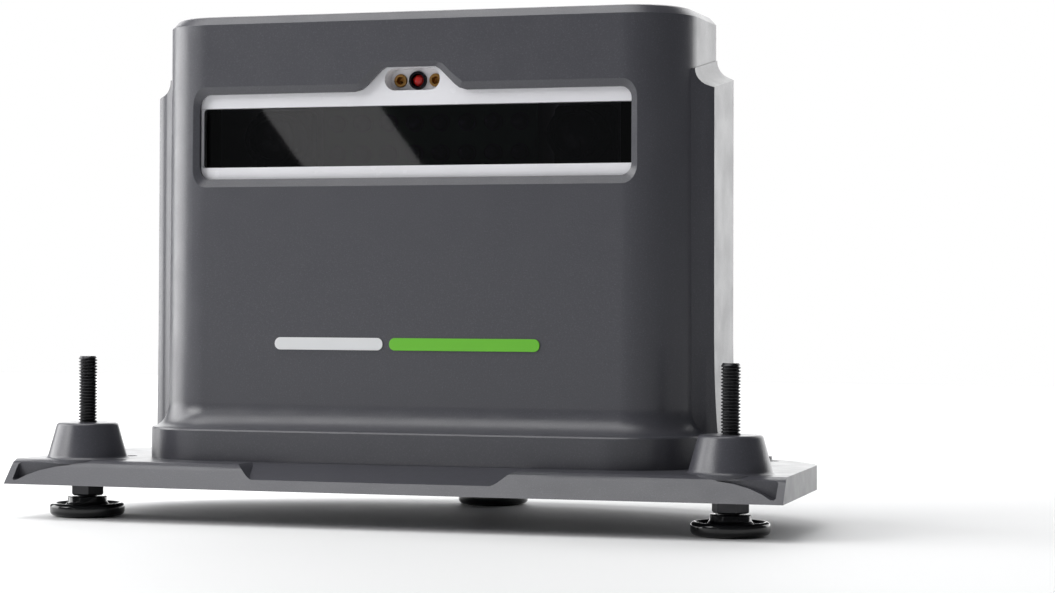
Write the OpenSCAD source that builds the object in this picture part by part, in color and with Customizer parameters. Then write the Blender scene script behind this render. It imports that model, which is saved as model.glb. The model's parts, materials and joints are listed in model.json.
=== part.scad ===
// Golf launch monitor standing in a cast protective case on three levelling feet.
// Origin: middle of the footprint, on the surface it stands on. +X right, +Y back, +Z up.

/* [Base plate] */
// Width of the base plate across its front corners
base_w = 256.6; // [254:0.2:264]
// Depth of the base plate from the front lip to the rear edge
base_d = 132; // [130:1:136]
// Height of the base plate's underside above the surface
base_clear = 11.2; // [11.2:0.2:14]
// Thickness of the base plate
base_t = 7.8; // [7.6:0.2:9]
// Radius of the bowed front edge, seen from above
front_bow_r = 4000; // [2000:100:6000]
// Width of the lowered middle of the front lip, at its top
notch_w = 94; // [80:1:104]
// Middle of that lowered part, left of the plate's middle
notch_shift = 2.4; // [0:0.2:4]
// Depth to which the middle of the front lip is lowered
notch_drop = 4.5; // [3:0.5:4.5]
// Depth of the pocket that the monitor stands in
pocket_depth = 5.1; // [4.5:0.1:5.3]
// Radius of the four holes for fastening the case down
tie_hole_r = 2.25; // [1.8:0.05:2.4]

/* [Levelling feet] */
// Distance between the two front studs
stud_span = 216; // [214:1:218]
// Distance from the front studs to the rear stud
stud_reach = 97; // [95:1:98]
// Radius of each stud
stud_r = 3; // [2.5:0.1:3.2]
// Height of each stud's upper end
stud_top = 52.4; // [48:0.2:58]
// Radius of each foot disc
foot_r = 12.15; // [11:0.05:12.5]
// Width across the flats of each stud's hexagon
hex_flats = 10; // [9:0.5:11]
// Height of each boss above the base plate
boss_h = 11.7; // [10:0.1:13]

/* [Hood] */
// Width of the hood above its skirt
hood_w = 180.8; // [180:0.2:182]
// Height of the hood's top above the surface
hood_top = 163.8; // [163:0.2:168]
// Radius of the hood's two upright front corners
hood_r = 20; // [19:0.5:21]
// Wall thickness of the hood
hood_wall = 3; // [2.6:0.1:3]
// Distance that the skirt stands out in front of the hood
skirt_out = 9; // [8:0.5:9.5]
// Distance that the skirt stands out beside the hood
skirt_side = 5.3; // [5:0.1:6]
// Height of the skirt's upright band
skirt_h = 10.1; // [9:0.1:11]
// Width across the two rear flanges
flange_w = 192; // [190:1:194]
// Height of the flanges' tops at their rear edge
flange_top = 143; // [138:1:144]
// Drop of the flanges' tops towards the front
flange_drop = 6; // [0:1:8]

/* [Monitor] */
// Width of the monitor
mon_w = 171; // [168:0.5:171]
// Height of the monitor
mon_h = 145; // [142:0.5:145]
// Depth of the monitor
mon_d = 70; // [68:0.5:70]
// Wall thickness of the monitor's housing
mon_wall = 2.5; // [2:0.1:2.6]
// Half of the width of the hood's window opening
opening_hw = 73.4; // [70:0.2:73.4]
// Lower edge of the visible window
glass_lo = 114.3; // [113.5:0.1:115]
// Upper edge of the visible window
glass_hi = 133.7; // [133:0.1:134]
// Distance between the two camera centres
camera_span = 104; // [96:2:108]
// Travel of the power button
button_travel = 1; // [0.6:0.1:1]

/* [Hidden] */
$fn = 64;
// Gap between pieces that move past each other
gap = 0.3;
// Facets of each upright corner of the hood
corner_steps = 24;
// Radial clearance of a turning fit
fit = 0.05;
// Overrun of a cut past the face it opens
over = 1;

base_top = base_clear + base_t;
half_d = base_d / 2;
front_stud_y = 21 - half_d;
rear_stud_y = front_stud_y + stud_reach;
STUDS = [[-stud_span / 2, front_stud_y], [stud_span / 2, front_stud_y], [0, rear_stud_y]];
boss_r = 12.7;
boss_top_r = 10.1;
boss_top = base_top + boss_h;
insert_r = 4.5;
corner_x = base_w / 2;
corner_y = corner_x * corner_x / (2 * front_bow_r) - half_d;
rear_bow_r = 177;
rear_join = [107, rear_bow_r * cos(asin(107 / rear_bow_r)) + half_d - rear_bow_r];
TIE_HOLES = [[100, -29.5], [106, 23]];
hood_front = 9 + front_stud_y;
hood_rear = hood_front + 45;
ridge_z = base_top + skirt_h;
draft = 0.5;
bevel = 2.9;
cove_r = skirt_out - 0.5;
HOOD_SCREWS = [[92.6, -5], [55, hood_front - 3.2]];
glass_hw = opening_hw + 0.3;
bezel_hw = opening_hw + 1.4;
bezel_lo = glass_lo - 4.6;
bezel_hi = glass_hi + 5;
sensor_z = glass_hi + 8.3;
sensor_reach = 2.4;
lens_z = (bezel_lo + bezel_hi) / 2 - 0.9;
lens_h = 27.2;
lens_w = 2 * bezel_hw + 2;
mon_front = hood_front + hood_wall + 0.5;
mon_rear = mon_front + mon_d;
mon_mid = (mon_front + mon_rear) / 2;
mon_floor = base_top - pocket_depth + 0.7;
mon_top = mon_floor + mon_h;
mon_r = 15;
split_y = 2;
lens_y = mon_front + mon_wall;
camera_z = (glass_lo + glass_hi) / 2;
emitter_x = 6;
rail_y = lens_y + 22;
board_y = 6;
HOUSING_POSTS = [for (x = [-68, 68], z = [mon_floor + 10, mon_top - 9]) [x, z]];
button_x = 62;
button_z = 130;
button_r = 6;
port_x = -60;
port_z = 32;

// Points along an arc about [cx, cy], from angle a0 to angle a1
function arc(cx, cy, r, a0, a1, n) =
    [for (i = [0:n]) [cx + r * cos(a0 + (a1 - a0) * i / n), cy + r * sin(a0 + (a1 - a0) * i / n)]];

// Outline of a rectangle w by h with rounded corners, about its centre
function round_rect(w, h, r, n = 8) = concat(
    arc(w / 2 - r, h / 2 - r, r, 0, 90, n),
    arc(r - w / 2, h / 2 - r, r, 90, 180, n),
    arc(r - w / 2, r - h / 2, r, 180, 270, n),
    arc(w / 2 - r, r - h / 2, r, 270, 360, n)
);

// Growth of the hood's sides where its front grows by o
function side_growth(o) = o > 0 ? o * skirt_side / skirt_out : o;

// One level of the hood: its plan outline grown by o, at height z
function hood_ring(z, o) = [
    let (x = hood_w / 2 - hood_r - o + side_growth(o), y = hood_front + hood_r, r = hood_r + o)
    for (p = concat(
        arc(-x, y, r, 180, 270, corner_steps),
        arc(x, y, r, 270, 360, corner_steps),
        [[x + r, hood_rear], [-x - r, hood_rear]]
    )) [p[0], p[1], z]
];

// One level of an opening in an upright wall: a rounded rectangle grown by g
function opening_ring(depth, hw, lo, hi, r, g) = [
    for (p = round_rect(2 * (hw + g), hi - lo + 2 * g, r + g)) [p[0], p[1] + (lo + hi) / 2, depth]
];

// Right half of the raised middle of the window surround, grown by g, from its foot to its top
function bump_side(g) = [
    [19 + g, bezel_hi - 3], [19 + g, bezel_hi - 0.6 + 0.8 * g], [16.6 + g, bezel_hi + 0.1 + 0.9 * g],
    [15 + g, bezel_hi + 1.3 + g], [10 + 0.8 * g, sensor_z + 2.9 + g], [8.4 + 0.5 * g, sensor_z + 3.8 + g]
];

// Outline of that raised middle, anticlockwise from its right foot
function bump_outline(g) = concat(
    bump_side(g),
    [for (i = [len(bump_side(g)) - 1:-1:0]) [-bump_side(g)[i][0], bump_side(g)[i][1]]]
);

// Left side of the lowered middle of the lip, from its top to its floor
function notch_side() = concat(
    [[-notch_w / 2 - 0.6, base_top + over]],
    [for (t = [20:20:160]) [-notch_w / 2 + 8 * t / 180, base_top - notch_drop * (1 - cos(t)) / 2]],
    [[-notch_w / 2 + 9, base_top - notch_drop - 1.5]]
);

// Closed solid through a stack of rings that all have the same number of points
module loft(rings) {
    n = len(rings[0]);
    m = len(rings);
    sides = [
        for (i = [0:m - 2], j = [0:n - 1])
            let (a = i * n + j, b = i * n + (j + 1) % n)
            each [[a, a + n, b + n], [a, b + n, b]]
    ];
    polyhedron(
        [for (ring = rings) each ring],
        concat([[for (j = [0:n - 1]) j]], sides, [[for (j = [n - 1:-1:0]) (m - 1) * n + j]])
    );
}

// Upright plate centred on x and z, from y to y + t
module y_plate(x, z, y, t, w, h, r) {
    translate([x, y + t, z])
        rotate([90, 0, 0])
        linear_extrude(t)
        polygon(round_rect(w, h, r));
}

// Round rod along Y, from y to y + l
module y_rod(x, z, y, l, r) {
    translate([x, y + l, z])
        rotate([90, 0, 0])
        cylinder(h = l, r = r);
}

// Block with rounded upright edges, centred on x and y, from z to z + h
module block(x, y, z, w, d, h, r) {
    translate([x, y, z])
        linear_extrude(h)
        polygon(round_rect(w, d, r));
}

// Both the right-hand copy and its mirror image
module both_sides() {
    children();
    mirror([1, 0, 0]) children();
}

// Plan outline of the base plate
module base_outline() {
    right = concat(
        [
            [0, -half_d - over], [corner_x, -half_d - over], [corner_x, corner_y],
            [corner_x - 3.8, 5], [corner_x - 5.8, 11], [corner_x - 13.6, 23]
        ],
        arc(0, half_d - rear_bow_r, rear_bow_r, acos(rear_join[0] / rear_bow_r), 90, 14)
    );
    polygon(concat(right, [for (i = [len(right) - 2:-1:1]) [-right[i][0], right[i][1]]]));
}

// Tapered boss round a stud, with a curved foot and an eased rim
module boss() {
    foot = 1.4;
    rim = 1.2;
    rotate_extrude()
        polygon(concat(
            [[0, -foot], [boss_r + foot, -foot], [boss_r + foot, 0]],
            arc(boss_r + foot, foot, foot, 270, 190, 5),
            arc(boss_top_r - rim, boss_h - rim, rim, 12, 90, 5),
            [[0, boss_h]]
        ));
}

module base_plate() {
    color("#5c5d61")
    difference() {
        union() {
            intersection() {
                translate([0, 0, base_clear]) linear_extrude(base_t) base_outline();
                // Four straight lengths of lip that follow the bow
                intersection_for (x = [-96, -32, 32, 96])
                    translate([x, x * x / (2 * front_bow_r) - half_d, base_clear])
                    rotate([0, 0, atan(x / front_bow_r)])
                    translate([-2 * base_w, 0, 0])
                    rotate([90, 0, 90])
                    linear_extrude(4 * base_w)
                    polygon([
                        [2 * base_d, -over], [-4.6 * over / (base_t - 2.3), -over],
                        [4.6, base_t - 2.3], [5.8, base_t - 1],
                        [10.2, base_t + over], [2 * base_d, base_t + over]
                    ]);
            }
            for (s = STUDS) translate([s[0], s[1], base_top]) boss();
            intersection() {
                translate([0, half_d - rear_bow_r, base_top - over])
                    difference() {
                        cylinder(h = over + 1.1, r = rear_bow_r - 0.4, $fn = 180);
                        translate([0, 0, -over]) cylinder(h = 4 * over, r = rear_bow_r - 2.4, $fn = 180);
                    }
                translate([-104, 0, base_top - over]) cube([208, base_d, 3 * over]);
            }
        }
        // Lowered middle of the lip
        intersection() {
            translate([-base_w / 2, 0, 0])
                rotate([90, 0, 90])
                linear_extrude(base_w)
                polygon([
                    [front_stud_y - 1.5, base_top], [3 - half_d, base_top - notch_drop],
                    [-half_d - 4, base_top - notch_drop - 0.6], [-half_d - 4, base_top + 4],
                    [front_stud_y - 1.5, base_top + 4]
                ]);
            translate([-notch_shift, 0, 0])
                rotate([90, 0, 0])
                linear_extrude(base_d)
                polygon(concat(
                    notch_side(),
                    [for (i = [len(notch_side()) - 1:-1:0]) [-notch_side()[i][0], notch_side()[i][1]]]
                ));
        }
        // Scooped wing tips, each inside a thin side wall
        both_sides()
            translate([0, corner_y + 5.6, 0])
            rotate([90, 0, 0])
            linear_extrude(30)
            polygon([
                [corner_x - 22, base_top - 1.4], [corner_x - 16, base_top - 2.2],
                [corner_x - 11, base_top - 3.4], [corner_x - 7, base_top - 4.9],
                [corner_x - 4.2, base_top - 6.4], [corner_x - 3, base_top - 6.6],
                [corner_x - 2.5, base_top - 6], [corner_x - 2.5, base_top - 1.7],
                [corner_x - 3.6, base_top - 0.7]
            ]);
        // Pocket for the monitor
        block(0, mon_mid, base_top - pocket_depth, mon_w + 1.2, mon_d + 1.2,
            pocket_depth + over, mon_r + 0.4);
        for (s = STUDS)
            translate([s[0], s[1], base_clear - over]) {
                cylinder(h = boss_top - 0.7 - base_clear + over, r = insert_r);
                cylinder(h = boss_top + 2 * over, r = stud_r + gap);
            }
        both_sides() {
            for (h = TIE_HOLES)
                translate([h[0], h[1], base_clear - over])
                cylinder(h = base_t + 2 * over, r = tie_hole_r);
            for (h = HOOD_SCREWS)
                translate([h[0], h[1], base_clear - over]) {
                    cylinder(h = base_t + 2 * over, r = 2.7);
                    cylinder(h = 2.8 + over, r = 4.8);
                }
        }
    }
}

// Section of the right flange at y, its top lowered by drop
function flange_ring(y, drop) = [
    for (p = concat(
        [
            [80, base_top], [flange_w / 2 + 1, base_top], [flange_w / 2 + 1, ridge_z],
            [flange_w / 2 + 0.8, ridge_z + 3], [flange_w / 2 + 0.5, ridge_z + 9],
            [flange_w / 2 + 0.2, ridge_z + 18], [flange_w / 2, ridge_z + 30],
            [flange_w / 2 - 0.2, flange_top - drop]
        ],
        arc(flange_w / 2 + 0.4, flange_top - drop + 6.4, 6.1, 250, 180, 6),
        [[80, flange_top - drop + 6.4]]
    )) [p[0], y, p[1]]
];

// Thickened rear edge of the hood's right side
module flange() {
    intersection() {
        loft([flange_ring(hood_rear, 0), flange_ring(hood_rear - 36, flange_drop)]);
        translate([0, 0, base_top])
            linear_extrude(hood_top)
            polygon(concat(
                [[80, hood_rear], [flange_w / 2 + 2, hood_rear], [flange_w / 2 + 2, hood_rear - 21]],
                arc(flange_w / 2 - 6, hood_rear - 21, 8, 360, 285, 6),
                [[hood_w / 2 - 2, hood_rear - 31], [80, hood_rear - 31]]
            ));
    }
}

module case_hood() {
    cove = [for (t = [0:10:90]) [ridge_z + cove_r * (1 - cos(t)), cove_r * (1 - sin(t))]];
    levels = concat(
        [[base_top, skirt_out], [ridge_z - 0.5, skirt_out]],
        cove,
        [[hood_top - bevel, -draft], [hood_top - 0.5, -draft - bevel + 0.7], [hood_top, -draft - bevel - 0.5]]
    );
    color("#56575b")
    difference() {
        union() {
            loft([for (l = levels) hood_ring(l[0], l[1])]);
            both_sides() flange();
        }
        // Bay for the monitor, open below and behind
        translate([0, 0, base_top - over])
            linear_extrude(hood_top - hood_wall + 0.2 - base_top + over)
            polygon(concat(
                arc(hood_r - hood_w / 2, hood_front + hood_r, hood_r - hood_wall, 180, 270, corner_steps),
                arc(hood_w / 2 - hood_r, hood_front + hood_r, hood_r - hood_wall, 270, 360, corner_steps),
                [[hood_w / 2 - hood_wall, hood_rear + over], [hood_wall - hood_w / 2, hood_rear + over]]
            ));
        // Window opening with a bevelled edge
        rotate([90, 0, 0])
            loft([for (l = [[-hood_front - 6, 0], [-hood_front - 1.8, 0], [-hood_front + 2, 6.6]])
                opening_ring(l[0], opening_hw + l[1] / 2, bezel_lo + 0.7, bezel_hi - 0.6, 3.6, l[1])]);
        rotate([90, 0, 0])
            loft([for (l = [[-hood_front - 6, 0], [-hood_front - 1.8, 0], [-hood_front + 2, 4.6]])
                [for (p = bump_outline(l[1])) [p[0], p[1], l[0]]]]);
        both_sides()
            for (h = HOOD_SCREWS)
                translate([h[0], h[1], base_top - over])
                cylinder(h = 8.5 + over, r = 2.55);
    }
}

module hood_pads() {
    side_gap = hood_w / 2 - hood_wall - mon_w / 2;
    color("#1c1c1e") {
        both_sides()
            translate([mon_w / 2, -14, 40])
            cube([side_gap, 16, 70]);
        translate([-60, -20, mon_top]) cube([120, 22, hood_top - hood_wall + 0.2 - mon_top]);
    }
}

module hood_screws() {
    color("#3a3a3c")
    both_sides()
    for (h = HOOD_SCREWS)
        translate([h[0], h[1], base_clear + 0.2])
        difference() {
            union() {
                cylinder(h = 2.6, r = 4.5);
                cylinder(h = 15.4, r = 2.45);
            }
            translate([0, 0, -over]) cylinder(h = 1.6 + over, r = 1.7, $fn = 6);
        }
}

module stud_inserts() {
    color("#b9a36a")
    for (s = STUDS)
        translate([s[0], s[1], base_clear + gap])
        difference() {
            cylinder(h = boss_top - 0.7 - base_clear - gap, r = insert_r);
            translate([0, 0, -over]) cylinder(h = boss_top, r = stud_r + fit);
        }
}

// Flat bar on the hood's front face, between two x positions
module accent_bar(x0, x1) {
    z = 57;
    face = hood_front + draft * (z - 2 - ridge_z - cove_r) / (hood_top - bevel - ridge_z - cove_r);
    y_plate((x0 + x1) / 2, z, face - 0.42, 0.4, x1 - x0, 4, 1.9);
}

module accent_light() {
    color("#f2f3f3") accent_bar(-45.5, -8.2);
}

module accent_green() {
    color("#6cc22e") accent_bar(-6, 44.4);
}

// Threaded stud with its hexagon, at plan position s
module stud(s) {
    color("#222224")
    translate([s[0], s[1], 0]) {
        translate([0, 0, 2.9]) cylinder(h = stud_top - 0.7 - 2.9, r = stud_r);
        translate([0, 0, stud_top - 0.7])
            rotate_extrude()
            polygon([[0, 0], [stud_r, 0], [stud_r - 0.7, 0.7], [0, 0.7]]);
        translate([0, 0, 6.9]) cylinder(h = base_clear - gap - 6.9, r = hex_flats / 2 / cos(30), $fn = 6);
    }
}

module left_stud() { stud(STUDS[0]); }
module right_stud() { stud(STUDS[1]); }
module rear_stud() { stud(STUDS[2]); }

// Foot disc with a raised rim and a flared hub, bored for the stud's lower end
module foot(s) {
    hub_r = 6.35;
    color("#101012")
    translate([s[0], s[1], 0])
    difference() {
        rotate_extrude()
            polygon(concat(
                [[0, 0.8], [foot_r - 2.6, 0.8], [foot_r - 2.6, 0.3]],
                arc(foot_r - 1.9, 2.2, 1.9, 280, 360, 5),
                arc(foot_r - 1.3, 3.3, 1.3, 0, 140, 6),
                [[foot_r - 3.6, 3.7]],
                arc(foot_r - 3.6, 5.9, 2.2, 250, 200, 4),
                [[hub_r, 6], [hub_r, 6.6], [0, 6.6]]
            ));
        translate([0, 0, 2.6]) cylinder(h = 8, r = stud_r + fit);
    }
}

module left_foot() { foot(STUDS[0]); }
module right_foot() { foot(STUDS[1]); }
module rear_foot() { foot(STUDS[2]); }

// Rubber sole under a foot disc
module sole(s) {
    color("#19191b")
    translate([s[0], s[1], 0])
    difference() {
        cylinder(h = 0.8, r = foot_r - 2.7);
        translate([0, 0, -over]) cylinder(h = over + 0.4, r = 3);
    }
}

module left_sole() { sole(STUDS[0]); }
module right_sole() { sole(STUDS[1]); }
module rear_sole() { sole(STUDS[2]); }

// Monitor's outer block between two y positions, hollowed
module housing_shell(y0, y1) {
    intersection() {
        difference() {
            block(0, mon_mid, mon_floor, mon_w, mon_d, mon_h, mon_r);
            block(0, mon_mid, mon_floor + mon_wall, mon_w - 2 * mon_wall, mon_d - 2 * mon_wall,
                mon_h - 2 * mon_wall, mon_r - mon_wall);
        }
        translate([-mon_w, y0, 0]) cube([2 * mon_w, y1 - y0, hood_top]);
    }
}

module front_housing() {
    color("#2b2c2f")
    difference() {
        union() {
            housing_shell(mon_front - over, split_y);
            for (p = HOUSING_POSTS) y_rod(p[0], p[1], lens_y - 0.5, split_y - lens_y + 0.5, 4);
        }
        y_plate(0, (bezel_lo + bezel_hi) / 2, mon_front - over, mon_wall + 2 * over,
            2 * bezel_hw + 0.2, bezel_hi - bezel_lo + 0.2, 4.5);
        translate([0, lens_y + over, 0])
            rotate([90, 0, 0])
            linear_extrude(mon_wall + 2 * over)
            polygon(bump_outline(0.9));
        y_plate(0, lens_z, lens_y, 3.2, lens_w + 0.2, lens_h + 0.2, 3);
        for (p = HOUSING_POSTS) y_rod(p[0], p[1], split_y - 20, 20 + over, 1.3);
    }
}

module rear_housing() {
    color("#e4e5e6")
    difference() {
        union() {
            housing_shell(split_y + 0.1, mon_rear + over);
            for (p = HOUSING_POSTS) y_rod(p[0], p[1], split_y + 0.1, mon_rear - split_y - 1, 4);
        }
        for (p = HOUSING_POSTS) {
            y_rod(p[0], p[1], split_y - over, mon_d, 1.7);
            y_rod(p[0], p[1], mon_rear - 6, 6 + over, 3.2);
        }
        y_rod(button_x, button_z, mon_rear - 3 * over, 6 * over, button_r + gap);
        y_plate(port_x, port_z + 1.6 + 1.7, mon_rear - 3 * over, 6 * over, 9.4, 3.8, 1);
        for (i = [0:8]) y_plate(0, 70 + 5 * i, mon_rear - 3 * over, 6 * over, 64, 2, 0.98);
    }
}

module window_bezel() {
    z = (bezel_lo + bezel_hi) / 2;
    color("#e9eaeb")
    difference() {
        union() {
            y_plate(0, z, mon_front + 0.2, mon_wall - 0.2, 2 * bezel_hw, bezel_hi - bezel_lo, 4.4);
            translate([0, lens_y, 0])
                rotate([90, 0, 0])
                linear_extrude(mon_wall - 0.2)
                polygon(bump_outline(0.8));
        }
        y_plate(0, (glass_lo + glass_hi) / 2, mon_front - over, mon_wall + 2 * over,
            2 * glass_hw, glass_hi - glass_lo, 1.2);
        y_plate(0, sensor_z, mon_front - over, mon_wall + 2 * over, 18.8, 7.2, 3.59);
    }
}

module window_lens() {
    color("#1a1b1f", 0.85)
    y_plate(0, lens_z, lens_y, 2, lens_w, lens_h, 3);
}

module window_gasket() {
    color("#0d0d0e")
    difference() {
        y_plate(0, lens_z, lens_y + 2, 1, lens_w, lens_h, 3);
        y_plate(0, lens_z, lens_y, 4, lens_w - 3, 21.8, 1.5);
    }
}

module window_masks() {
    color("#060607")
    both_sides()
    y_plate(glass_hw - 2.4, lens_z, lens_y + 2, 0.6, 5.6, 20.6, 0.4);
}

// Cup behind the raised middle of the window surround
module sensor_plate() {
    color("#dcdcde")
    difference() {
        y_plate(0, sensor_z, lens_y, 5.2, 24, 8.6, 4.2);
        y_plate(0, sensor_z, lens_y - over, 3.6 + over, 18.8, 7.2, 3.59);
        for (x = [-emitter_x, emitter_x]) y_rod(x, sensor_z, lens_y, 6, 2.15);
        y_rod(0, sensor_z, lens_y, 6, 2.95);
    }
}

module laser_barrel() {
    color("#101011")
    difference() {
        y_rod(0, sensor_z, lens_y + sensor_reach, 8, 2.9);
        y_rod(0, sensor_z, lens_y - over, sensor_reach + 3.6 + over, 2.1);
    }
}

module laser_lens() {
    color("#c8202c")
    translate([0, lens_y + sensor_reach + 3.6, sensor_z])
        rotate([90, 0, 0])
        rotate_extrude()
        polygon(concat([[0, 0], [2.05, 0], [2.05, 1.2]], arc(0, 1.2, 2.05, 10, 90, 6)));
}

// Brass-cased emitter beside the aiming laser
module emitter(x) {
    color("#a8743a")
    difference() {
        y_rod(x, sensor_z, lens_y + sensor_reach + 0.5, 8, 2.1);
        y_rod(x, sensor_z, lens_y - over, sensor_reach + 3.5 + over, 1.2);
    }
}

module left_emitter() { emitter(-emitter_x); }
module right_emitter() { emitter(emitter_x); }

module camera_rail() {
    color("#b7babd") {
        y_plate(0, camera_z, rail_y, 2, mon_w - 2 * mon_wall - 0.4, 30, 2);
        for (x = [-30, 30], z = [-8, 8]) y_rod(x, camera_z + z, rail_y - 6, 6, 2);
    }
}

// Camera barrel at plan position x, open at the front
module camera(x) {
    color("#161618")
    difference() {
        union() {
            y_rod(x, camera_z, rail_y - 18, 18, 8.6);
            y_plate(x, camera_z, rail_y - 5, 5, 20, 20, 2);
        }
        y_rod(x, camera_z, rail_y - 18 - over, 5 + over, 6.6);
    }
}

module left_camera() { camera(-camera_span / 2); }
module right_camera() { camera(camera_span / 2); }

// Domed camera lens
module camera_lens(x) {
    color("#27304a")
    translate([x, rail_y - 13, camera_z])
        rotate([90, 0, 0])
        rotate_extrude()
        polygon(concat([[0, 0], [6.5, 0], [6.5, 1.6]], arc(0, -6.4, 10.3, 51, 90, 6)));
}

module left_camera_lens() { camera_lens(-camera_span / 2); }
module right_camera_lens() { camera_lens(camera_span / 2); }

module flash_board() {
    color("#1f4a2c")
    y_plate(0, camera_z, rail_y - 7.6, 1.6, 74, 24, 1);
}

module infrared_leds() {
    color("#3a3448")
    for (i = [0:7], z = [-5, 5])
        translate([-31.5 + 9 * i, rail_y - 7.6, camera_z + z])
        rotate([90, 0, 0])
        rotate_extrude()
        polygon(concat([[0, 0], [2.9, 0], [2.9, 1], [2.4, 1]], arc(0, 3, 2.4, 0, 90, 6)));
}

module main_board() {
    color("#1c5733")
    y_plate(0, 60, board_y, 1.6, 122, 78, 2);
}

module processor_shield() {
    color("#c4c7ca")
    y_plate(26, 66, board_y - 3.4, 3.4, 42, 42, 1);
}

module wireless_module() {
    color("#b9bcc0")
    y_plate(-44, 78, board_y - 2.4, 2.4, 26, 18, 0.8);
}

module battery() {
    color("#2f5f9e")
    y_plate(6, 58, board_y + 3, 17, 96, 60, 4);
}

module port_board() {
    color("#1c5733")
    translate([port_x - 12, mon_rear - 27, port_z]) cube([24, 24, 1.6]);
}

module usb_socket() {
    color("#c9ccd0")
    difference() {
        y_plate(port_x, port_z + 3.2, mon_rear - 10, 9.6, 8.8, 3.2, 0.9);
        y_plate(port_x, port_z + 3.2, mon_rear - 8, 10, 8, 2.4, 0.6);
    }
}

module button_board() {
    color("#1c5733")
    y_plate(button_x, button_z, mon_rear - 11.5, 1.6, 24, 18, 1);
}

module power_switch() {
    color("#2a2a2c") {
        y_plate(button_x, button_z, mon_rear - 9.9, 2.6, 6, 6, 0.4);
        y_rod(button_x, button_z, mon_rear - 7.3, 0.8, 1.6);
    }
}

module power_button() {
    color("#3c3d40") {
        y_rod(button_x, button_z, mon_rear - 6.5 + button_travel, 7.2 - button_travel, 2.4);
        y_rod(button_x, button_z, mon_rear - mon_wall - gap - 1.2, 1.2, button_r + 1.4);
        y_rod(button_x, button_z, mon_rear - mon_wall - gap, mon_wall + gap + 0.2, button_r);
        translate([button_x, mon_rear + 0.2, button_z])
            rotate([-90, 0, 0])
            rotate_extrude()
            polygon([[0, 0], [button_r, 0], [button_r - 0.6, 0.6], [0, 0.6]]);
    }
}

module monitor_feet() {
    color("#18181a")
    both_sides()
    for (y = [-20, 25])
        translate([70, y, base_top - pocket_depth]) cylinder(h = 0.7, r = 6);
}

module housing_screws() {
    color("#8d9094")
    for (p = HOUSING_POSTS)
        difference() {
            union() {
                y_rod(p[0], p[1], split_y - 14, mon_rear - 6 - split_y + 14, 1.25);
                y_rod(p[0], p[1], mon_rear - 6, 2.2, 2.9);
            }
            translate([p[0], mon_rear - 3, p[1]])
                rotate([90, 0, 0])
                cylinder(h = 2.2, r = 1.3, $fn = 6);
        }
}

base_plate();
case_hood();
hood_pads();
hood_screws();
stud_inserts();
accent_light();
accent_green();
left_stud();
right_stud();
rear_stud();
left_foot();
right_foot();
rear_foot();
left_sole();
right_sole();
rear_sole();
front_housing();
rear_housing();
window_bezel();
window_lens();
window_gasket();
window_masks();
sensor_plate();
laser_barrel();
laser_lens();
left_emitter();
right_emitter();
camera_rail();
left_camera();
right_camera();
left_camera_lens();
right_camera_lens();
flash_board();
infrared_leds();
main_board();
processor_shield();
wireless_module();
battery();
port_board();
usb_socket();
button_board();
power_switch();
power_button();
monitor_feet();
housing_screws();
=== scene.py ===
import json
import math

import bmesh
import bpy
from mathutils import Matrix, Vector


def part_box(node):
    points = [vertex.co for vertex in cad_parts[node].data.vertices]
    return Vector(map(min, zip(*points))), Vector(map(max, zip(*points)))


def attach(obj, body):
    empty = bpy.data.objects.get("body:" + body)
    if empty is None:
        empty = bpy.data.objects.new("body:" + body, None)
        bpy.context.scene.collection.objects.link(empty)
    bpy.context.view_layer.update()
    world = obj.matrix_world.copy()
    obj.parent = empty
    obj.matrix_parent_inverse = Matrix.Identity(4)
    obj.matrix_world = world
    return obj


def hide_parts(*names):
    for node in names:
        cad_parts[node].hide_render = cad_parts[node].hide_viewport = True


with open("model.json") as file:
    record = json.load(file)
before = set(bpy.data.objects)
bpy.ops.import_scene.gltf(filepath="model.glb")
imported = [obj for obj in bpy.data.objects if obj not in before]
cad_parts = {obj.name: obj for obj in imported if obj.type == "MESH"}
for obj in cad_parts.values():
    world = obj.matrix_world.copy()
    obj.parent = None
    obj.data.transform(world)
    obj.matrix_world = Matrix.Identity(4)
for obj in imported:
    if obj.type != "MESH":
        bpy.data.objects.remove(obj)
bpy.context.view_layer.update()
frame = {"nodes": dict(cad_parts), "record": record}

MM = 0.001
RECORD = frame["record"]
BODY_OF = {n: body for body, nodes in RECORD["behaviour"]["bodies"].items() for n in nodes}
SLOT_OF = {row["node"]: row["material_slot"] for row in RECORD["subparts"]}
SIDES = ("left", "right", "rear")

# the studs' M6 thread and hexagon, in mm
THREAD_RADIUS, THREAD_DEPTH, THREAD_PITCH = 3.0, 0.6, 1.0
THREAD_ABOVE_FOOT = 4.3
HEX_HALF_FLATS, HEX_HEIGHT = 5.0, 4.0

# the camera, in degrees, mm and metres
CAMERA_YAW, CAMERA_PITCH, CAMERA_ROLL = 17.67, 0.21, 0.26
CAMERA_LENS, CAMERA_SENSOR = 89.7, 36
CAMERA_EYE = (0.291, -0.823, 0.0694)

WORLD_FILL = 0.09


# ---------------------------------------------------------------- materials

def shader(name, color, roughness, more=None):
    """A Principled material with uniform values on its own sockets; more is {socket: value}."""
    mat = bpy.data.materials.new(name)
    mat.use_nodes = True
    inputs = mat.node_tree.nodes["Principled BSDF"].inputs
    inputs["Base Color"].default_value = (*color, 1)
    inputs["Roughness"].default_value = roughness
    for key, value in (more or {}).items():
        inputs[key].default_value = value
    return mat


def texture(mat, kind, scale, detail=3.0):
    """A procedural texture in the object's own metres; scale is the size of its features in mm."""
    nodes, links = mat.node_tree.nodes, mat.node_tree.links
    place = nodes.new("ShaderNodeTexCoord")
    tex = nodes.new(kind)
    tex.inputs["Scale"].default_value = 1000 / scale
    if "Detail" in tex.inputs:
        tex.inputs["Detail"].default_value = detail
    links.new(place.outputs["Object"], tex.inputs["Vector"])
    return tex


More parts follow.
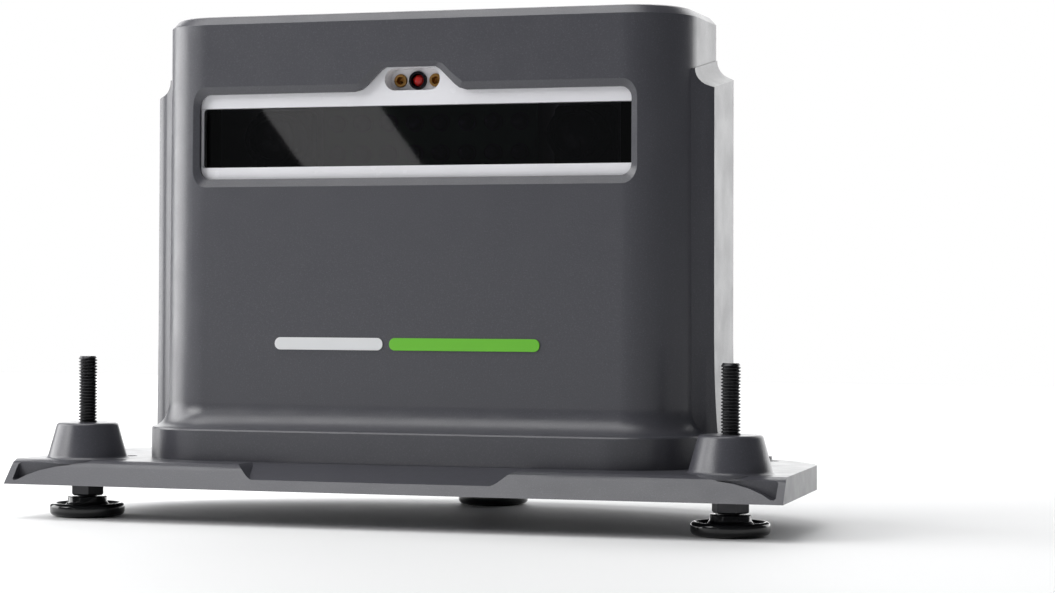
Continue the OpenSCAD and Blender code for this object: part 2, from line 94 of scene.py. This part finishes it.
def bump(mat, scale, height, kind="ShaderNodeTexNoise", detail=3.0, strength=1.0):
    """Surface relief, height in mm, added under any relief that the material already has."""
    nodes, links = mat.node_tree.nodes, mat.node_tree.links
    tex = texture(mat, kind, scale, detail)
    relief = nodes.new("ShaderNodeBump")
    relief.inputs["Strength"].default_value = strength
    relief.inputs["Distance"].default_value = height * MM
    links.new(tex.outputs[0], relief.inputs["Height"])
    normal = nodes["Principled BSDF"].inputs["Normal"]
    if normal.links:
        links.new(normal.links[0].from_socket, relief.inputs["Normal"])
    links.new(relief.outputs["Normal"], normal)


def mottle(mat, scale, stops, kind="ShaderNodeTexNoise", detail=3.0):
    """Base colour through a ramp over a texture; stops are (position, colour)."""
    nodes, links = mat.node_tree.nodes, mat.node_tree.links
    tex = texture(mat, kind, scale, detail)
    ramp = nodes.new("ShaderNodeValToRGB")
    while len(ramp.color_ramp.elements) < len(stops):
        ramp.color_ramp.elements.new(0.5)
    for element, (position, color) in zip(ramp.color_ramp.elements, stops):
        element.position = position
        element.color = (*color, 1)
    links.new(tex.outputs[0], ramp.inputs["Fac"])
    links.new(ramp.outputs["Color"], nodes["Principled BSDF"].inputs["Base Color"])


def uneven_gloss(mat, scale, low, high):
    """Roughness that drifts between low and high."""
    nodes, links = mat.node_tree.nodes, mat.node_tree.links
    tex = texture(mat, "ShaderNodeTexNoise", scale)
    spread = nodes.new("ShaderNodeMapRange")
    spread.inputs["From Min"].default_value = 0.3
    spread.inputs["From Max"].default_value = 0.7
    spread.inputs["To Min"].default_value = low
    spread.inputs["To Max"].default_value = high
    links.new(tex.outputs[0], spread.inputs["Value"])
    links.new(spread.outputs["Result"], nodes["Principled BSDF"].inputs["Roughness"])


def powder_coat(name, tone):
    """Fine leathery powder coat with paler and darker flecks."""
    mat = shader(name, tone, 0.4, {"Specular IOR Level": 0.62})
    dark = [c * 0.92 for c in tone]
    fleck = [c * 1.4 for c in tone]
    mottle(mat, 0.35, [(0.3, dark), (0.58, tone), (0.76, fleck)], detail=1.5)
    uneven_gloss(mat, 9, 0.28, 0.36)
    bump(mat, 0.5, 0.06, detail=2, strength=0.6)
    bump(mat, 2.4, 0.03, strength=0.3)
    return mat


def moulded(name, tone, roughness, grain_mm=0.35, height=0.02):
    """Moulded plastic with a spark-eroded grain and slightly drifting tone."""
    mat = shader(name, tone, roughness)
    mottle(mat, 14, [(0.35, [c * 0.98 for c in tone]), (0.65, tone)])
    uneven_gloss(mat, 6, roughness * 0.88, roughness * 1.12)
    bump(mat, grain_mm, height, strength=0.5)
    return mat


def metal(name, tone, roughness, brush_mm=0.3, height=0.006):
    """Machined or plated metal with fine tool marks."""
    mat = shader(name, tone, roughness, {"Metallic": 1.0})
    uneven_gloss(mat, 1.5, roughness * 0.8, roughness * 1.3)
    mottle(mat, 3, [(0.35, [c * 0.88 for c in tone]), (0.65, tone)])
    bump(mat, brush_mm, height, strength=0.4)
    return mat


def rubber(name, tone):
    """Matt rubber or foam with an open grain."""
    return moulded(name, tone, 0.75, 0.25, 0.04)


def clear(name, tone):
    """Tinted glass with the faintest surface waviness."""
    mat = shader(name, tone, 0.02, {"IOR": 1.5, "Transmission Weight": 1.0})
    bump(mat, 45, 0.01, detail=1, strength=0.15)
    return mat


def circuit(name):
    """Solder mask over copper tracks."""
    green, copper = (0.012, 0.10, 0.035), (0.03, 0.16, 0.06)
    mat = shader(name, green, 0.35)
    mottle(mat, 2.2, [(0.46, green), (0.5, copper), (0.54, green)], kind="ShaderNodeTexVoronoi")
    bump(mat, 2.2, 0.03, kind="ShaderNodeTexVoronoi", strength=0.4)
    return mat


MATERIALS = {
    "case_paint": lambda n: powder_coat(n, (0.069, 0.069, 0.081)),
    "pad_foam": lambda n: rubber(n, (0.018, 0.018, 0.019)),
    "screw_steel": lambda n: metal(n, (0.35, 0.35, 0.36), 0.32),
    "insert_brass": lambda n: metal(n, (0.62, 0.46, 0.2), 0.3),
    "accent_white": lambda n: moulded(n, (0.82, 0.83, 0.84), 0.35, 0.5, 0.01),
    "accent_lime": lambda n: moulded(n, (0.16, 0.56, 0.035), 0.35, 0.5, 0.01),
    "stud_steel": lambda n: metal(n, (0.06, 0.06, 0.063), 0.34),
    "foot_black": lambda n: moulded(n, (0.006, 0.006, 0.007), 0.13, 1.2, 0.004),
    "sole_rubber": lambda n: rubber(n, (0.016, 0.016, 0.017)),
    "housing_dark": lambda n: moulded(n, (0.028, 0.029, 0.032), 0.5),
    "housing_light": lambda n: moulded(n, (0.66, 0.67, 0.69), 0.45),
    "bezel_silver": lambda n: moulded(n, (0.93, 0.925, 0.96), 0.25, 0.6, 0.004),
    "smoked_glass": lambda n: clear(n, (0.2, 0.19, 0.21)),
    "black_trim": lambda n: moulded(n, (0.004, 0.004, 0.004), 0.7),
    "sensor_grey": lambda n: moulded(n, (0.84, 0.83, 0.85), 0.35),
    "barrel_black": lambda n: metal(n, (0.018, 0.018, 0.022), 0.3),
    "red_lens": lambda n: moulded(n, (0.72, 0.03, 0.025), 0.12, 2, 0.004),
    "emitter_brass": lambda n: metal(n, (0.42, 0.23, 0.07), 0.3, 0.2, 0.02),
    "rail_aluminium": lambda n: metal(n, (0.62, 0.63, 0.64), 0.35),
    "camera_glass": lambda n: clear(n, (0.35, 0.42, 0.75)),
    "circuit_board": circuit,
    "led_epoxy": lambda n: moulded(n, (0.05, 0.04, 0.085), 0.15, 2, 0.004),
    "shield_steel": lambda n: metal(n, (0.6, 0.61, 0.62), 0.3),
    "battery_wrap": lambda n: moulded(n, (0.035, 0.12, 0.38), 0.25, 3, 0.03),
    "button_plastic": lambda n: moulded(n, (0.045, 0.045, 0.05), 0.42),
}
MADE = {slot: make(slot) for slot, make in MATERIALS.items()}


# ------------------------------------------------------------- mesh helpers

def finished(obj, node, smooth_deg=35):
    """Gives a new piece its node's body, slot and material, and puts it in that node's place."""
    obj.data.materials.clear()
    obj.data.materials.append(MADE[SLOT_OF[node]])
    for face in obj.data.polygons:
        face.use_smooth = True
    obj.data.set_sharp_from_angle(angle=math.radians(smooth_deg))
    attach(obj, BODY_OF[node])
    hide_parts(node)


def from_bmesh(name, bm):
    """A new object in the scene, made of the bmesh, which it frees."""
    mesh = bpy.data.meshes.new(name)
    bmesh.ops.recalc_face_normals(bm, faces=bm.faces)
    bm.to_mesh(mesh)
    bm.free()
    obj = bpy.data.objects.new(name, mesh)
    bpy.context.scene.collection.objects.link(obj)
    return obj


def apply_modifiers(obj):
    """Bakes an object's modifiers into its mesh."""
    depsgraph = bpy.context.evaluated_depsgraph_get()
    shape = bpy.data.meshes.new_from_object(obj.evaluated_get(depsgraph))
    obj.modifiers.clear()
    obj.data = shape


def clean_copy(node, name):
    """The node's shape as a new object, its flat faces joined up again."""
    source = frame["nodes"][node]
    bm = bmesh.new()
    bm.from_mesh(source.data)
    bmesh.ops.remove_doubles(bm, verts=bm.verts, dist=0.002 * MM)
    bmesh.ops.dissolve_limit(bm, angle_limit=math.radians(0.4), verts=bm.verts, edges=bm.edges)
    return from_bmesh(name, bm)


def eased(node, width):
    """The node with its sharp edges rounded to width mm."""
    obj = clean_copy(node, f"{node}_eased")
    rounding = obj.modifiers.new("rounding", "BEVEL")
    rounding.width = width * MM
    rounding.segments = 3
    rounding.limit_method = "ANGLE"
    rounding.angle_limit = math.radians(28)
    rounding.use_clamp_overlap = True
    rounding.miter_outer = "MITER_ARC"
    apply_modifiers(obj)
    finished(obj, node)
    flat = obj.modifiers.new("flat_faces", "WEIGHTED_NORMAL")
    flat.keep_sharp = True


def vert(bm, centre, r, angle, z):
    """A vertex at radius r and height z in mm, turned by angle in radians about centre's vertical."""
    x = centre.x + r * MM * math.cos(angle)
    y = centre.y + r * MM * math.sin(angle)
    return bm.verts.new((x, y, z * MM))


def full_turn(steps):
    """Angles of a whole turn in equal steps, in radians."""
    return [2 * math.pi * i / steps for i in range(steps)]


def skin(bm, rings, capped=False):
    """Faces between rings of equal count, and across the first and last ring when capped."""
    for low, high in zip(rings, rings[1:]):
        for i in range(len(low)):
            j = (i + 1) % len(low)
            bm.faces.new((low[i], low[j], high[j], high[i]))
    if capped:
        bm.faces.new(rings[-1])
        bm.faces.new(rings[0][::-1])


def revolve(bm, profile, centre, steps=96):
    """Surface of revolution about Z; profile is (radius, z) in mm, and a radius of 0 makes one point."""
    rings = []
    for r, z in profile:
        if r < 1e-6:
            rings.append([bm.verts.new((centre.x, centre.y, z * MM))])
        else:
            rings.append([vert(bm, centre, r, a, z) for a in full_turn(steps)])
    for low, high in zip(rings, rings[1:]):
        for i in range(steps):
            j = (i + 1) % steps
            corners = [low[i % len(low)], low[j % len(low)], high[j % len(high)], high[i % len(high)]]
            distinct = list(dict.fromkeys(corners))
            if len(distinct) > 2:
                bm.faces.new(distinct)


def arc(cx, cz, r, a0, a1, n=8):
    """Points (radius, z) along an arc about (cx, cz), from a0 to a1 degrees."""
    turn = [math.radians(a0 + (a1 - a0) * i / n) for i in range(n + 1)]
    return [(cx + r * math.cos(a), cz + r * math.sin(a)) for a in turn]


def axis_of(node):
    """The middle of the node's box, which lies on its axis."""
    low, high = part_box(node)
    return (Vector(low) + Vector(high)) / 2


# ----------------------------------------------------------- camera, lights

def look(obj, eye, forward, roll_deg=0.0):
    """Points obj along forward from eye, level but for roll_deg."""
    forward = forward.normalized()
    side = forward.cross(Vector((0, 0, 1))).normalized()
    up = side.cross(forward)
    roll = math.radians(roll_deg)
    right = side * math.cos(roll) + up * math.sin(roll)
    top = up * math.cos(roll) - side * math.sin(roll)
    obj.matrix_world = Matrix.Translation(eye) @ Matrix((right, top, -forward)).transposed().to_4x4()


def make_camera():
    data = bpy.data.cameras.new("camera")
    data.sensor_width = CAMERA_SENSOR
    data.lens = CAMERA_LENS
    cam = bpy.data.objects.new("camera", data)
    bpy.context.scene.collection.objects.link(cam)
    yaw, pitch = math.radians(CAMERA_YAW), math.radians(CAMERA_PITCH)
    forward = Vector((-math.sin(yaw), math.cos(yaw), math.tan(pitch)))
    look(cam, Vector(CAMERA_EYE), forward, CAMERA_ROLL)
    bpy.context.scene.camera = cam


def softbox(name, eye, target, width, height, radiance, roll_deg=0.0):
    """A rectangular area light at eye that faces target; sizes in metres, radiance for its face."""
    data = bpy.data.lights.new(name, "AREA")
    data.shape = "RECTANGLE"
    data.size, data.size_y = width, height
    data.energy = radiance * math.pi * width * height
    obj = bpy.data.objects.new(name, data)
    bpy.context.scene.collection.objects.link(obj)
    obj.visible_camera = False
    look(obj, Vector(eye), Vector(target) - Vector(eye), roll_deg)


def make_studio():
    """White backdrop for the camera, a weak bluish fill for the rest, five lights and a paper floor."""
    scene = bpy.context.scene
    scene.view_settings.view_transform = "Standard"
    world = bpy.data.worlds.new("studio")
    scene.world = world
    world.use_nodes = True
    nodes, links = world.node_tree.nodes, world.node_tree.links
    backdrop = nodes["Background"]
    backdrop.inputs["Color"].default_value = (1, 1, 1, 1)
    fill = nodes.new("ShaderNodeBackground")
    fill.inputs["Color"].default_value = (0.9, 0.95, 1, 1)
    fill.inputs["Strength"].default_value = WORLD_FILL
    path = nodes.new("ShaderNodeLightPath")
    mix = nodes.new("ShaderNodeMixShader")
    links.new(path.outputs["Is Camera Ray"], mix.inputs["Fac"])
    links.new(fill.outputs["Background"], mix.inputs[1])
    links.new(backdrop.outputs["Background"], mix.inputs[2])
    links.new(mix.outputs["Shader"], nodes["World Output"].inputs["Surface"])
    softbox("back_panel", (0.0, 1.5, 0.55), (0, 0, 0.1), 3.0, 1.5, 2.3)
    softbox("left_box", (-1.15, 0.05, 0.4), (0, 0, 0.08), 0.9, 1.0, 4.5)
    softbox("front_box", (-1.35, -1.0, 0.9), (0, 0, 0.08), 0.8, 0.7, 7.4)
    softbox("top_box", (-0.35, -0.15, 1.2), (0, 0, 0), 1.2, 1.0, 2.7)
    softbox("window_card", (-0.51, -1.22, 0.22), (-0.03, 0, 0.12), 0.08, 0.7, 1.1, 35)
    bpy.ops.mesh.primitive_grid_add(
        x_subdivisions=8, y_subdivisions=8, size=8, location=(0, -2.5, 0)
    )
    floor = bpy.context.object
    floor.name = "floor"
    floor.data.materials.append(shader("floor_paper", (0.92, 0.92, 0.92), 0.7))


# ------------------------------------------------------------------- pieces

def threaded_stud(side):
    """M6 stud with a real helical thread, its hexagon and its plain lower end."""
    node = f"{side}_stud"
    centre = axis_of(node)
    low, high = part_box(node)
    bottom, top = low.z / MM, high.z / MM
    thread_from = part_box(f"{side}_foot")[1].z / MM + THREAD_ABOVE_FOOT
    bm = bmesh.new()
    around, per_pitch = 48, 12
    fade_in, fade_out, tip_chamfer = 1.5, 0.8, 0.55
    levels = int((top - thread_from) / THREAD_PITCH * per_pitch)
    rings = []
    for k in range(levels + 1):
        z = thread_from + (top - thread_from) * k / levels
        lead_in = min(1.0, (z - thread_from) / fade_in, (top - z) / fade_out)
        cap = THREAD_RADIUS - tip_chamfer * max(0.0, 1 - (top - z) / fade_out)
        ring = []
        for i, angle in enumerate(full_turn(around)):
            phase = (z / THREAD_PITCH - i / around) % 1
            groove = min(1.0, max(0.0, 1.25 - abs(phase - 0.5) * 3.4))  # a V with a flat root
            r = min(cap, THREAD_RADIUS - THREAD_DEPTH * groove * max(0.0, lead_in))
            ring.append(vert(bm, centre, r, angle, z))
        rings.append(ring)
    skin(bm, rings, capped=True)

    shank_top = thread_from - 3.9
    shank = [
        (0, bottom), (THREAD_RADIUS - 0.3, bottom), (THREAD_RADIUS, bottom + 0.3),
        (THREAD_RADIUS, shank_top), (0, shank_top),
    ]
    revolve(bm, shank, centre, around)

    hex_low, hex_high = thread_from - HEX_HEIGHT, thread_from + 0.02
    corner = HEX_HALF_FLATS / math.cos(math.radians(30))
    ends = ((0.9, hex_low), (1.0, hex_low + 0.5), (1.0, hex_high - 0.5), (0.9, hex_high))
    hexagon = [[vert(bm, centre, share * corner, a, z) for a in full_turn(6)] for share, z in ends]
    skin(bm, hexagon, capped=True)
    finished(from_bmesh(f"{side}_threaded_stud", bm), node, 30)


def foot_disc(side):
    """Moulded foot: rolled rim, dished top and flared hub round the stud."""
    node = f"{side}_foot"
    centre = axis_of(node)
    low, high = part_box(node)
    edge = (high.x - low.x) / 2 / MM
    bottom, top = low.z / MM, high.z / MM
    profile = (
        [(0, bottom + 1.4), (3.0, bottom + 1.4), (3.0, bottom), (edge - 1.9, bottom)]
        + arc(edge - 1.6, bottom + 1.6, 1.6, 275, 360)
        + arc(edge - 1.25, bottom + 2.9, 1.25, 0, 130)
        + arc(edge - 3.6, bottom + 5.4, 2.3, 290, 200)
        + arc(6.0, top - 0.35, 0.35, 0, 90, 4)
        + [(3.06, top), (3.06, bottom + 1.8), (0, bottom + 1.8)]
    )
    bm = bmesh.new()
    revolve(bm, profile, centre)
    finished(from_bmesh(f"{side}_foot_disc", bm), node)


# nodes shown with rounded edges, and the width of the rounding in mm
EASED = {
    "base_plate": 0.7, "case_hood": 0.5, "hood_pads": 0.3, "window_bezel": 0.45, "window_lens": 0.25,
    "sensor_plate": 0.25, "laser_barrel": 0.2, "left_emitter": 0.2, "right_emitter": 0.2,
    "rear_housing": 0.9, "front_housing": 0.6, "power_button": 0.25, "usb_socket": 0.12,
    "battery": 0.8, "processor_shield": 0.3, "wireless_module": 0.25, "power_switch": 0.15,
    "accent_light": 0.12, "accent_green": 0.12, "hood_screws": 0.2, "housing_screws": 0.2,
    "left_sole": 0.15, "right_sole": 0.15, "rear_sole": 0.15, "monitor_feet": 0.15,
    "left_camera": 0.4, "right_camera": 0.4, "camera_rail": 0.3,
}

make_camera()
make_studio()
for side in SIDES:
    threaded_stud(side)
    foot_disc(side)
for node, width in EASED.items():
    eased(node, width)
replaced = set(EASED) | {f"{side}_{part}" for side in SIDES for part in ("stud", "foot")}
for node, obj in frame["nodes"].items():
    if node not in replaced:
        for slot in obj.material_slots:
            slot.material = MADE[SLOT_OF[node]]
